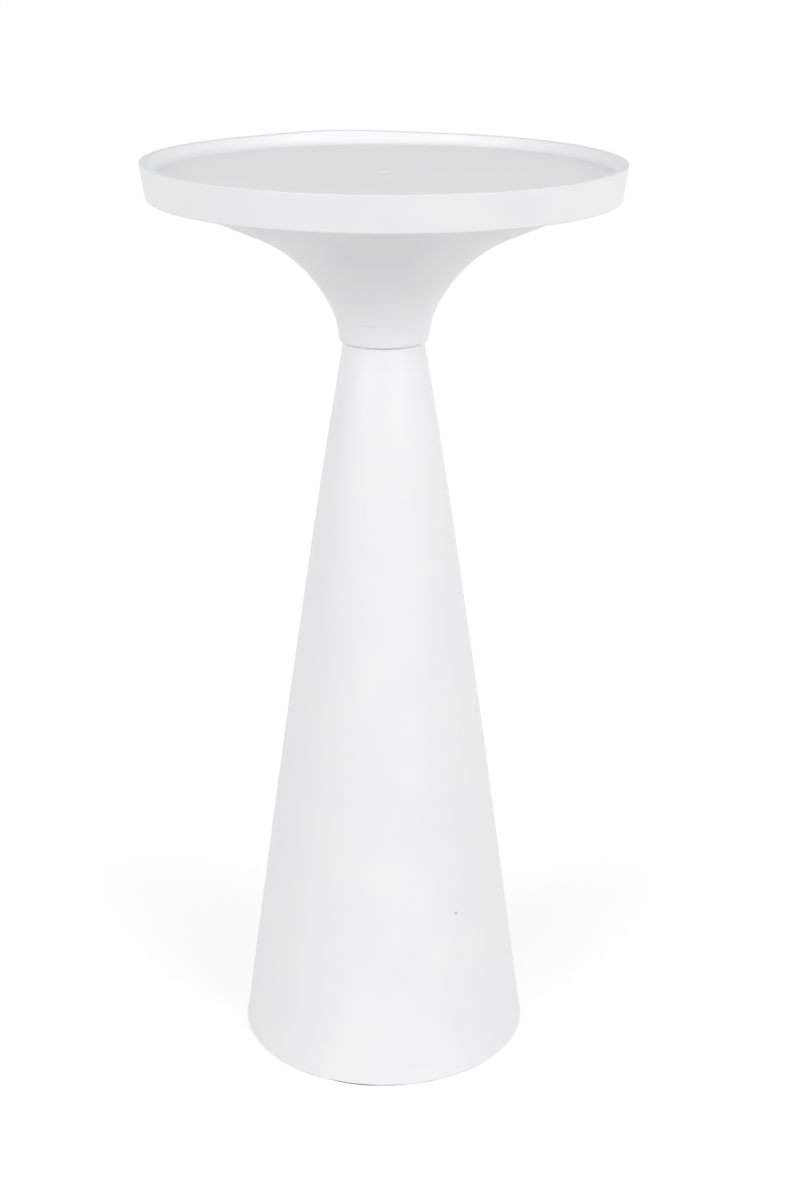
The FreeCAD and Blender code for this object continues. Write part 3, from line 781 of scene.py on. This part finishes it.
def section_object(name, points, rules=()):
    """Mesh line through the points of a section, with the rules of each point if it has any."""
    mesh = bpy.data.meshes.new(name)
    edges = [(i, i + 1) for i in range(len(points) - 1)]
    mesh.from_pydata([(radius, 0, height) for radius, height in points], edges, [])
    for rule, values in rules:
        mesh.attributes.new(rule, "FLOAT", "POINT").data.foreach_set("value", values)
    return add_object(name, mesh)


def bake(piece, tree, **inputs):
    """Run a tree on a piece, keep the result as a plain mesh and check that it is closed.

    The inputs are named as the tree's are, in small letters and with underscores for spaces.
    """
    modifier = piece.modifiers.new("shape", "NODES")
    modifier.node_group = tree
    for item in tree.interface.items_tree:
        label = item.name.lower().replace(" ", "_")
        if label in inputs:
            modifier[item.identifier] = inputs[label]
    graph = bpy.context.evaluated_depsgraph_get()
    mesh = bpy.data.meshes.new_from_object(piece.evaluated_get(graph), depsgraph=graph)
    piece.modifiers.remove(modifier)
    piece.data = mesh
    mesh.name = piece.name
    shell = bmesh.new()
    shell.from_mesh(mesh)
    if not shell.faces or any(not edge.is_manifold for edge in shell.edges):
        raise RuntimeError(f"{piece.name} isn't closed")
    bmesh.ops.recalc_face_normals(shell, faces=shell.faces)
    shell.to_mesh(mesh)
    shell.free()
    return piece


def place_piece(piece, slot, *nodes):
    """Let a finished piece ride the table and stand for its nodes. The slot is not used."""
    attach(piece, BODY)
    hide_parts(*nodes)


def make_casting(name, points, material, waves, **inputs):
    """Turn a section of a casting or of the felt, with waves of that height, length and seed."""
    wave_height, wave_length, wave_seed = waves
    return bake(
        section_object(name, points), bpy.data.node_groups.get(CASTING_TREE) or casting_tree(),
        segments=CASTING_SEGMENTS, material=material, wave_from=WAVE_FROM, wave_to=WAVE_TO,
        wave_height=wave_height, wave_length=wave_length, wave_seed=wave_seed, **inputs)


def make_white_casting(name, points, cad_node, **inputs):
    """Turn the section of a white casting and put it in the place of its node."""
    hand = bpy.context.scene.side_table.hand
    waves = hand.wave, hand.wave_length, hand.seed
    piece = make_casting(name, points, finish(satin_white_powder_coat), waves, **inputs)
    place_piece(piece, "white_coat", cad_node)


def make_fastener(name, rows, segments, **inputs):
    """Turn the rows of a nut, a rod or a screw."""
    radii, heights, *rules = zip(*rows)
    piece = section_object(name, list(zip(radii, heights)), zip(RULES, rules))
    tree = bpy.data.node_groups.get(FASTENER_TREE) or fastener_tree()
    return bake(piece, tree, segments=segments, material=finish(zinc_plated_steel), **inputs)


# Materials

# Marks in the coat, as hand-finished ones have: middle and half size in millimetres, and how dark each is
COAT_MARKS = {
    "pinhole in the cone": ((48.07, -66.16, 114.63), (0.8, 0.8, 0.8), 0.9),
    "speck under the tray": ((-26.43, -93.45, 562.55), (0.7, 0.7, 0.7), 0.4),
    "hairline in the neck": ((-7.4, -29.2, 502.2), (9.0, 6.0, 0.6), 0.1),
    "hairline in the cone": ((-12.63, -40.6, 385.8), (0.4, 1.5, 3.4), 0.08),
}
# A mark is full out to this share of its half size
MARK_CORE = 0.4


def finish(make):
    """The material that a function lays out, made once and named for that function."""
    material = bpy.data.materials.get(make.__name__)
    if not material:
        material = bpy.data.materials.new(make.__name__)
        material.use_nodes = True
        tree = material.node_tree
        tree.nodes.clear()
        place = node(tree, "ShaderNodeTexCoord").outputs["Object"]
        surface = make(tree, place, bpy.context.scene.side_table.colours)
        node(tree, "ShaderNodeOutputMaterial", {"Surface": surface})
    return material


def two_tone_surface(tree, share, tones, settings, relief, strength, depth):
    """Surface that passes by a share from one tone to another, over a relief of that strength and depth."""
    tone = node(tree, MIX, {0: share, 6: tones[0], 7: tones[1]}, data_type="RGBA").outputs[2]
    bump = node(tree, "ShaderNodeBump", {"Height": relief, "Strength": strength, "Distance": depth})
    return node(tree, "ShaderNodeBsdfPrincipled", {"Base Color": tone, "Normal": bump, **settings})


def satin_white_powder_coat(tree, place, colours):
    """Satin white powder coat, baked on sanded castings."""
    # To the eye: an even, soft white with a faint orange peel, a little shade where it is thin,
    # and a few marks
    patches = node(tree, NOISE, {"Vector": place, "Scale": 1 / (55 * MM), "Detail": 2.0})
    thin = node(tree, RANGE, {"Value": patches, "From Min": 0.35, "From Max": 0.65})
    coat = node(tree, MIX, {0: thin, 6: list(colours.white_coat), 7: list(colours.coat_shade)},
                data_type="RGBA").outputs[2]
    marked = 0.0
    for middle, half_size, darkness in COAT_MARKS.values():
        off = node(tree, "ShaderNodeVectorMath", [place, Vector(middle) * MM], operation="SUBTRACT")
        span = node(tree, "ShaderNodeVectorMath", [off, Vector(half_size) * MM], operation="DIVIDE")
        far = node(tree, "ShaderNodeVectorMath", [span], operation="LENGTH").outputs["Value"]
        mark = node(tree, RANGE, {"Value": far, "From Min": 1.0, "From Max": MARK_CORE, "To Max": darkness})
        marked = node(tree, "MAXIMUM", [mark, marked])
    gloss = node(tree, NOISE, {"Vector": place, "Scale": 1 / (18 * MM), "Detail": 3.0})
    roughness = node(tree, RANGE, {"Value": gloss, "To Min": 0.36, "To Max": 0.48})
    peel = node(tree, NOISE, {"Vector": place, "Scale": 1 / (1.8 * MM), "Detail": 1.0})
    pits = node(tree, "SUBTRACT", [peel, marked])
    return two_tone_surface(
        tree, marked, (coat, list(colours.coat_mark)), {"Roughness": roughness},
        relief=pits, strength=0.6, depth=0.012 * MM)


def brown_wool_felt(tree, place, colours):
    """Pressed wool felt, die cut."""
    # To the eye: dull brown with tangled fibres and matted patches, and a soft glow along its edge.
    # Fibres are 0.03 mm thick, too fine to show, so they are drawn 0.7 mm wide.
    matted = node(tree, NOISE, {"Vector": place, "Scale": 1 / (24 * MM), "Detail": 2.0})
    patch = node(tree, RANGE, {"Value": matted, "From Min": 0.35, "From Max": 0.75, "To Max": 0.7})
    tangle = node(tree, NOISE, {
        "Vector": place, "Scale": 1 / (0.7 * MM), "Detail": 4.0, "Distortion": 1.5})
    fibre = node(tree, RANGE, {"Value": tangle, "From Min": 0.3, "From Max": 0.7, "To Max": 0.6})
    share = node(tree, "MAXIMUM", [patch, fibre])
    return two_tone_surface(
        tree, share, (list(colours.felt), list(colours.felt_shade)),
        {"Roughness": 0.95, "Sheen Weight": 0.4, "Sheen Roughness": 0.6},
        relief=tangle, strength=0.9, depth=0.25 * MM)


def blackened_steel_and_seam_shade(tree, place, colours):
    """Turned steel, blackened in a hot salt bath and oiled; its near black also paints shade into the seam.
    """
    # To the eye: near black with fine turning rings, a little rubbed, and a dull oily gloss
    rubbed = node(tree, NOISE, {"Vector": place, "Scale": 1 / (6 * MM), "Detail": 4.0})
    wear = node(tree, RANGE, {"Value": rubbed, "From Min": 0.5, "From Max": 0.75})
    roughness = node(tree, RANGE, {"Value": rubbed, "To Min": 0.38, "To Max": 0.58})
    rings = node(tree, "ShaderNodeTexWave", {
        "Vector": place, "Scale": WAVE_PERIOD / (0.4 * MM), "Distortion": 0.4}, bands_direction="Z")
    return two_tone_surface(
        tree, wear, (list(colours.black_steel), list(colours.steel_wear)),
        {"Roughness": roughness, "Metallic": 1.0}, relief=rings.outputs["Fac"], strength=0.4, depth=0.02 * MM)


def zinc_plated_steel(tree, place, colours):
    """Rolled and pressed steel with bright zinc plating."""
    # To the eye: pale grey metal with cloudy blue patches, uneven gloss and fine scratches
    cloud = node(tree, NOISE, {"Vector": place, "Scale": 1 / (9 * MM), "Detail": 3.0})
    tint = node(tree, RANGE, {"Value": cloud, "From Min": 0.4, "From Max": 0.65})
    roughness = node(tree, RANGE, {"Value": cloud, "To Min": 0.24, "To Max": 0.44})
    scratch = node(tree, NOISE, {
        "Vector": place, "Scale": 1 / (0.5 * MM), "Detail": 3.0, "Distortion": 2.0})
    return two_tone_surface(
        tree, tint, (list(colours.zinc_steel), list(colours.zinc_tint)),
        {"Roughness": roughness, "Metallic": 1.0}, relief=scratch, strength=0.25, depth=0.02 * MM)


def sand_cast_iron(tree, place, colours):
    """Grey iron as it comes from a sand mould."""
    # To the eye: dark grey, grainy as the sand was, with brown where it starts to rust
    stain = node(tree, NOISE, {"Vector": place, "Scale": 1 / (30 * MM), "Detail": 5.0})
    rust = node(tree, RANGE, {"Value": stain, "From Min": 0.5, "From Max": 0.7})
    roughness = node(tree, RANGE, {"Value": rust, "To Min": 0.6, "To Max": 0.9})
    grain = node(tree, "ShaderNodeTexVoronoi", {"Vector": place, "Scale": 1 / (1.1 * MM)})
    return two_tone_surface(
        tree, rust, (list(colours.cast_iron), list(colours.iron_rust)),
        {"Roughness": roughness, "Metallic": 0.4}, relief=grain, strength=0.8, depth=0.15 * MM)


def pressed_fibreboard(tree, place, colours):
    """Medium-density fibreboard, sawn and drilled."""
    # To the eye: even tan with short dark fibres that lie along the board, and no gloss
    lying = node(tree, "ShaderNodeMapping", {"Vector": place, "Scale": (1.0, 1.0, 3.0)})
    fibres = node(tree, NOISE, {
        "Vector": lying, "Scale": 1 / (1.6 * MM), "Detail": 5.0, "Distortion": 2.5})
    dark = node(tree, RANGE, {"Value": fibres, "From Min": 0.45, "From Max": 0.75})
    roughness = node(tree, RANGE, {"Value": fibres, "To Min": 0.72, "To Max": 0.92})
    return two_tone_surface(
        tree, dark, (list(colours.fibreboard), list(colours.board_fibre)), {"Roughness": roughness},
        relief=fibres, strength=0.5, depth=0.08 * MM)


class SIDETABLE_OT_tray(bpy.types.Operator):
    """Make the cast tray."""

    bl_idname = "side_table.make_tray"
    bl_label = "Make the tray"

    def execute(self, context):
        sizes = context.scene.side_table.tray
        tray_radius = sizes.diameter / 2
        ring_outer = tray_radius - sizes.band_draft - sizes.band_wall - sizes.channel
        make_white_casting(
            "cast_tray", tray_section(sizes), "tray_top",
            warp_height=sizes.warp, warp_from=ring_outer, warp_to=tray_radius - sizes.rim_width,
            rise_height=sizes.rise, rise_place=sizes.rise_place, rise_span=sizes.rise_span,
            rise_from=TABLE_HEIGHT - sizes.depth, rise_to=TABLE_HEIGHT)
        return {"FINISHED"}


class SIDETABLE_OT_trumpet(bpy.types.Operator):
    """Make the hollow trumpet."""

    bl_idname = "side_table.make_trumpet"
    bl_label = "Make the trumpet"

    def execute(self, context):
        table = context.scene.side_table
        band_bottom = TABLE_HEIGHT - table.tray.band_height
        make_white_casting("trumpet", trumpet_section(table.trumpet, band_bottom), "trumpet_neck")
        return {"FINISHED"}


class SIDETABLE_OT_cone(bpy.types.Operator):
    """Make the hollow cone."""

    bl_idname = "side_table.make_cone"
    bl_label = "Make the cone"

    def execute(self, context):
        make_white_casting("cone", cone_section(context.scene.side_table.cone), "cone_base")
        return {"FINISHED"}


class SIDETABLE_OT_felt(bpy.types.Operator):
    """Make the felt under the foot."""

    bl_idname = "side_table.make_felt"
    bl_label = "Make the felt"

    def execute(self, context):
        sizes = context.scene.side_table.felt
        waves = sizes.wander, sizes.wander_length, sizes.seed
        piece = make_casting("felt_ring", felt_section(sizes), finish(brown_wool_felt), waves)
        place_piece(piece, "brown_felt", "felt_pad")
        return {"FINISHED"}


class SIDETABLE_OT_rod(bpy.types.Operator):
    """Make the threaded tie rod."""

    bl_idname = "side_table.make_rod"
    bl_label = "Make the rod"

    def execute(self, context):
        sizes = context.scene.side_table.fasteners
        radius, bottom, top = reach("tie_rod")
        rows = [(0, bottom, *PLAIN), *thread_rows(radius, sizes.rod_pitch, bottom, top), (0, top, *PLAIN)]
        piece = make_fastener(
            "threaded_rod", rows, ROD_SEGMENTS,
            lead=sizes.rod_pitch, thread_bottom=bottom, thread_top=top, end_radius=sizes.rod_end / 2)
        place_piece(piece, "zinc_steel", "tie_rod")
        return {"FINISHED"}


class SIDETABLE_OT_nuts(bpy.types.Operator):
    """Make the nut under the tray and the nut under the weight."""

    bl_idname = "side_table.make_nuts"
    bl_label = "Make the nuts"

    def execute(self, context):
        sizes = context.scene.side_table.fasteners
        for name, cad_node in (("upper_nut", "lock_nut"), ("lower_nut", "clamp_nut")):
            piece = make_fastener(name, nut_rows(sizes, *reach(cad_node)), FASTENER_SEGMENTS)
            place_piece(piece, "zinc_steel", cad_node)
        return {"FINISHED"}


class SIDETABLE_OT_spring_washers(bpy.types.Operator):
    """Make the split spring washers of both nuts."""

    bl_idname = "side_table.make_spring_washers"
    bl_label = "Make the spring washers"

    def execute(self, context):
        sizes = context.scene.side_table.fasteners
        tree = spring_washer_tree()
        for name, cad_node in (
                ("upper_spring_washer", "lock_spring_washer"),
                ("lower_spring_washer", "clamp_spring_washer")):
            low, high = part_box(cad_node)
            diameter = high.y - low.y
            # the bar's middle lies halfway between the bore and the outer side
            radius = (diameter + sizes.spring_bore) / 4
            half_split = sizes.spring_split / radius / 2
            piece = bake(
                section_object(name, []), tree, radius=radius, width=(diameter - sizes.spring_bore) / 2,
                thickness=high.z - low.z, edge_round=sizes.spring_round, start_angle=half_split,
                sweep_angle=math.tau - 2 * half_split, middle=(low.z + high.z) / 2,
                material=finish(zinc_plated_steel))
            place_piece(piece, "zinc_steel", cad_node)
        return {"FINISHED"}


class SIDETABLE_OT_screws(bpy.types.Operator):
    """Make the countersunk screws that hold the cover."""

    bl_idname = "side_table.make_screws"
    bl_label = "Make the screws"

    def execute(self, context):
        sizes = context.scene.side_table.fasteners
        _, bottom, top = reach("cover_screws")
        root = sizes.screw_diameter / 2 - THREAD_DEPTH * sizes.screw_pitch
        piece = make_fastener(
            "foot_screws", screw_rows(sizes, bottom, top), SCREW_SEGMENTS, lead=sizes.screw_pitch,
            thread_bottom=bottom + sizes.screw_head / 2 - root, thread_top=top, end_radius=root)
        bake(piece, screw_circle_tree(), count=sizes.screw_count, radius=sizes.screw_circle / 2,
             seed=sizes.screw_seed, material=finish(zinc_plated_steel))
        place_piece(piece, "zinc_steel", "cover_screws")
        return {"FINISHED"}


class SIDETABLE_OT_kept_parts(bpy.types.Operator):
    """Give the construction's parts that stay as they are their finishes."""

    bl_idname = "side_table.finish_kept_parts"
    bl_label = "Finish the kept parts"

    def execute(self, context):
        kept = {
            # the coupler's near black also paints shade into the seam
            "neck_coupler": blackened_steel_and_seam_shade,
            "base_weight": sand_cast_iron,
            "base_cover": pressed_fibreboard,
            "clamp_washer": zinc_plated_steel,
        }
        for cad_node, make in kept.items():
            for slot in bpy.data.objects[cad_node].material_slots:
                slot.material = finish(make)
        return {"FINISHED"}


# Places of the three softboxes, and the point that they face
KEY_PLACE = Vector((1.45, -1.45, 1.4))
FILL_PLACE = Vector((-1.45, -1.45, 1.4))
SIDE_PLACE = Vector((2.0, 0, 0.72))
LAMP_AIM = Vector((0, 0, 0.4))
# What the camera sees of the floor and the surround
WHITE = linear("#FFFFFF")


def seen_ray(tree):
    """One where the camera, a reflection or a clear material looks, and zero where light is gathered."""
    path = node(tree, "ShaderNodeLightPath").outputs
    seen = node(tree, "MAXIMUM", [path["Is Camera Ray"], path["Is Glossy Ray"]])
    return node(tree, "MAXIMUM", [seen, path["Is Transmission Ray"]])


def pale_studio_floor(tree, place, _):
    """Matt white paper sweep, with the studio's darker floor in front of it."""
    # To the eye: white that only keeps the table's soft shadow.
    # To the table: bounce light, which is less from in front, where the paper ends.
    studio = bpy.context.scene.side_table.studio
    paper = node(tree, RANGE, {
        "Value": node(tree, "ShaderNodeSeparateXYZ", [place]).outputs["Y"],
        "From Min": -studio.paper_edge - studio.paper_fade / 2,
        "From Max": -studio.paper_edge + studio.paper_fade / 2})
    bounce = node(tree, "ShaderNodeMixShader", [
        paper,
        node(tree, "ShaderNodeBsdfDiffuse", {"Color": list(studio.floor_front)}),
        node(tree, "ShaderNodeBsdfDiffuse", {"Color": list(studio.floor_colour)})])
    shadow = node(tree, "ShaderNodeBsdfDiffuse", {"Color": [studio.floor_shadow] * 3 + [1.0]})
    whiteness = node(tree, RANGE, {
        "Value": node(tree, "ShaderNodeVectorMath", [place], operation="LENGTH").outputs["Value"],
        "From Max": studio.shadow_reach,
        "To Min": studio.floor_white,
        "To Max": studio.floor_white_far})
    white = node(tree, "ShaderNodeEmission", {"Color": WHITE, "Strength": whiteness})
    seen = node(tree, "ShaderNodeAddShader", [shadow, white])
    return node(tree, "ShaderNodeMixShader", [seen_ray(tree), bounce, seen])


class SIDETABLE_OT_stage(bpy.types.Operator):
    """Set up the floor, the lights and the camera."""

    bl_idname = "side_table.set_stage"
    bl_label = "Set the stage"

    def execute(self, context):
        scene = context.scene
        studio = scene.side_table.studio
        scene.view_settings.view_transform = "Standard"

        camera = add_object("camera", bpy.data.cameras.new("camera"))
        camera.location = (0, -studio.camera_distance, studio.camera_height)
        camera.rotation_euler = (math.pi / 2 - studio.camera_pitch, 0, 0)
        camera.data.lens = studio.lens
        camera.data.sensor_width = SENSOR_WIDTH
        camera.data.shift_x = studio.shift
        scene.camera = camera

        world = bpy.data.worlds.new("white_surround")
        world.use_nodes = True
        tree = world.node_tree
        tree.nodes.clear()
        direction = node(tree, "ShaderNodeTexCoord").outputs["Generated"]
        gathered = node(tree, RANGE, {
            "Value": node(tree, "ShaderNodeSeparateXYZ", [direction]).outputs["Z"],
            "To Min": studio.surround, "To Max": studio.surround_top})
        strength = node(tree, MIX, {0: seen_ray(tree), 2: gathered, 3: 1.0})
        background = node(tree, "ShaderNodeBackground", {"Color": WHITE, "Strength": strength})
        node(tree, "ShaderNodeOutputWorld", {"Surface": background})
        scene.world = world

        half = studio.floor_size / 2
        corners = [(-half, -half, 0), (half, -half, 0), (half, half, 0), (-half, half, 0)]
        mesh = bpy.data.meshes.new("floor")
        mesh.from_pydata(corners, [], [(0, 1, 2, 3)])
        mesh.materials.append(finish(pale_studio_floor))
        floor = add_object("floor", mesh)

        for name, power, place in (
                ("key_softbox", studio.key_power, KEY_PLACE),
                ("fill_softbox", studio.fill_power, FILL_PLACE),
                ("side_softbox", studio.side_power, SIDE_PLACE)):
            lamp = bpy.data.lights.new(name, "AREA")
            lamp.energy = power
            lamp.size = studio.softbox_size
            softbox = add_object(name, lamp)
            softbox.location = place
            softbox.rotation_euler = (LAMP_AIM - place).to_track_quat("-Z", "Y").to_euler()
        return {"FINISHED"}


class SIDETABLE_PT_steps(bpy.types.Panel):
    """Lists the steps that make the side table, each with its settings."""

    bl_idname = "SIDETABLE_PT_steps"
    bl_label = "Side table"
    bl_space_type = "VIEW_3D"
    bl_region_type = "UI"
    bl_category = "Side Table"

    def draw(self, context):
        table = context.scene.side_table
        for operator, groups in STEPS:
            box = self.layout.box()
            box.operator(operator.bl_idname)
            for group in groups:
                settings = getattr(table, group)
                for setting in type(settings).__annotations__:
                    box.prop(settings, setting)


# Each step's operator, and the groups of settings that the panel shows under it
STEPS = (
    (SIDETABLE_OT_tray, ("tray", "hand", "colours")),
    (SIDETABLE_OT_trumpet, ("trumpet",)),
    (SIDETABLE_OT_cone, ("cone",)),
    (SIDETABLE_OT_felt, ("felt",)),
    (SIDETABLE_OT_rod, ("fasteners",)),
    (SIDETABLE_OT_nuts, ()),
    (SIDETABLE_OT_spring_washers, ()),
    (SIDETABLE_OT_screws, ()),
    (SIDETABLE_OT_kept_parts, ()),
    (SIDETABLE_OT_stage, ("studio",)),
)
CLASSES = (
    TraySizes, TrumpetSizes, ConeSizes, FeltSizes, HandFinish, FastenerSizes, FinishColours, StudioSettings,
    SideTable, *(operator for operator, _ in STEPS), SIDETABLE_PT_steps)


def register():
    for each in CLASSES:
        bpy.utils.register_class(each)
    bpy.types.Scene.side_table = bpy.props.PointerProperty(type=SideTable)


def unregister():
    del bpy.types.Scene.side_table
    for each in reversed(CLASSES):
        bpy.utils.unregister_class(each)


def main():
    """Build the table piece by piece."""
    register()
    bpy.ops.side_table.make_tray()
    bpy.ops.side_table.make_trumpet()
    bpy.ops.side_table.make_cone()
    bpy.ops.side_table.make_felt()
    bpy.ops.side_table.make_rod()
    bpy.ops.side_table.make_nuts()
    bpy.ops.side_table.make_spring_washers()
    bpy.ops.side_table.make_screws()
    bpy.ops.side_table.finish_kept_parts()
    bpy.ops.side_table.set_stage()


if __name__ == "__main__":
    main()
